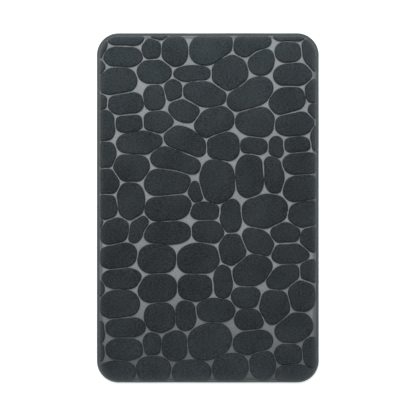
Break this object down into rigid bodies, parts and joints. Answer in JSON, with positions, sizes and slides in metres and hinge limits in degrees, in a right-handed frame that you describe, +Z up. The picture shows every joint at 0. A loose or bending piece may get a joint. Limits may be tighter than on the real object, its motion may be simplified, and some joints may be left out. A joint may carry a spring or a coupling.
{
  "type": "bath mat",
  "caption": "Rectangular bath mat with a plush face embossed into cobblestones over foam, a bound edge and a non-slip back.",
  "frame": {"origin": "centre of the mat's underside, on the floor", "axes": "+X across the width, +Y along the length, +Z up through the pile"},
  "size_m": [0.508, 0.8, 0.0146],
  "materials": {
    "face_fabric": "matte",
    "foam_core": "matte",
    "backing_scrim": "matte",
    "grip_coating": "satin",
    "edge_binding": "matte",
    "needle_thread": "satin",
    "bobbin_thread": "satin",
    "care_label": "satin"
  },
  "bodies": {
    "root": {"face_fabric": "face_fabric", "foam_core": "foam_core", "backing_scrim": "backing_scrim", "grip_coating": "grip_coating", "edge_binding": "edge_binding", "needle_thread": "needle_thread", "bobbin_thread": "bobbin_thread", "care_label": "care_label"}
  },
  "joints": []
}
